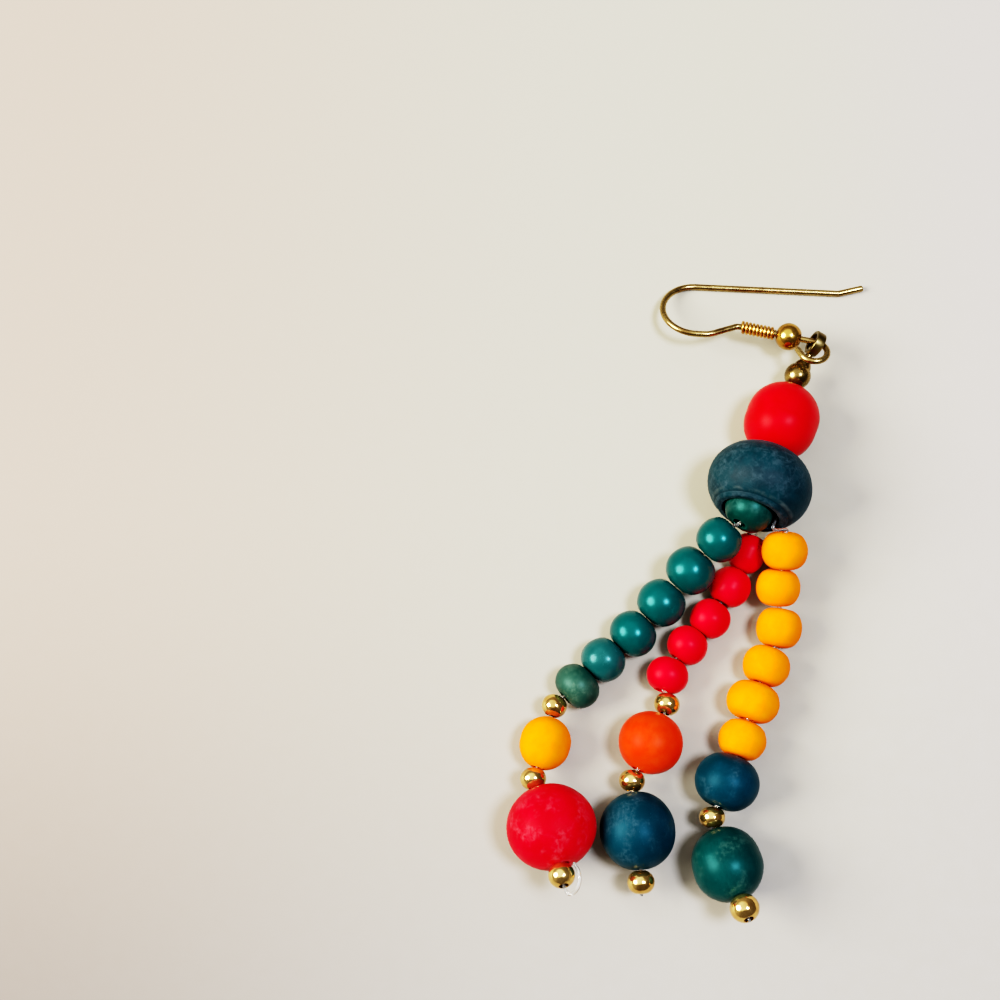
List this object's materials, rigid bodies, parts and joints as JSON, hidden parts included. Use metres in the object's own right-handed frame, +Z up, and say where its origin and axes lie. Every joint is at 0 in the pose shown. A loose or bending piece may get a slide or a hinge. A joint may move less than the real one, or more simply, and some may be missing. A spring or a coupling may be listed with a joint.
{
  "type": "beaded drop earring",
  "caption": "Drop earring: a fish-hook ear wire with a coil and ball carries a cap bead, a collar bead and a fan of beaded strands.",
  "frame": {"origin": "on the surface the earring lies on, below the middle of its outline seen from above", "axes": "+Z up from the surface, +Y from the strands' ends to the ear wire, +X along the ear wire's tail to its tip"},
  "size_m": [0.0406, 0.0708, 0.0113],
  "materials": {
    "gold_plate": "polished gold-coloured plate, a little tarnished",
    "red_wood": "dyed and varnished, satin",
    "orange_wood": "dyed and varnished, satin",
    "yellow_wood": "painted, matte",
    "green_wood": "dyed and varnished, glossy",
    "moss_wood": "dyed, worn and speckled, satin",
    "blue_wood": "dyed, scuffed and worn, satin",
    "clear_nylon": "clear nylon thread"
  },
  "bodies": {
    "root": {"ear_hook": "gold_plate", "hook_coil": "gold_plate", "hook_ball": "gold_plate", "bead_tip": "gold_plate", "cap_bead": "red_wood", "collar_bead": "blue_wood", "green_thread": "clear_nylon", "red_thread": "clear_nylon", "yellow_thread": "clear_nylon", "green_strand_bead_1": "green_wood", "green_strand_bead_2": "green_wood", "green_strand_bead_3": "green_wood", "green_strand_bead_4": "green_wood", "green_strand_bead_5": "green_wood", "green_strand_bead_6": "green_wood", "green_strand_bead_7": "moss_wood", "green_strand_bead_8": "gold_plate", "green_strand_bead_9": "yellow_wood", "green_strand_bead_10": "gold_plate", "green_strand_bead_11": "red_wood", "green_strand_bead_12": "gold_plate", "red_strand_bead_1": "red_wood", "red_strand_bead_2": "red_wood", "red_strand_bead_3": "red_wood", "red_strand_bead_4": "red_wood", "red_strand_bead_5": "red_wood", "red_strand_bead_6": "gold_plate", "red_strand_bead_7": "orange_wood", "red_strand_bead_8": "gold_plate", "red_strand_bead_9": "blue_wood", "red_strand_bead_10": "gold_plate", "yellow_strand_bead_1": "yellow_wood", "yellow_strand_bead_2": "yellow_wood", "yellow_strand_bead_3": "yellow_wood", "yellow_strand_bead_4": "yellow_wood", "yellow_strand_bead_5": "yellow_wood", "yellow_strand_bead_6": "yellow_wood", "yellow_strand_bead_7": "blue_wood", "yellow_strand_bead_8": "gold_plate", "yellow_strand_bead_9": "green_wood", "yellow_strand_bead_10": "gold_plate"}
  },
  "joints": []
}
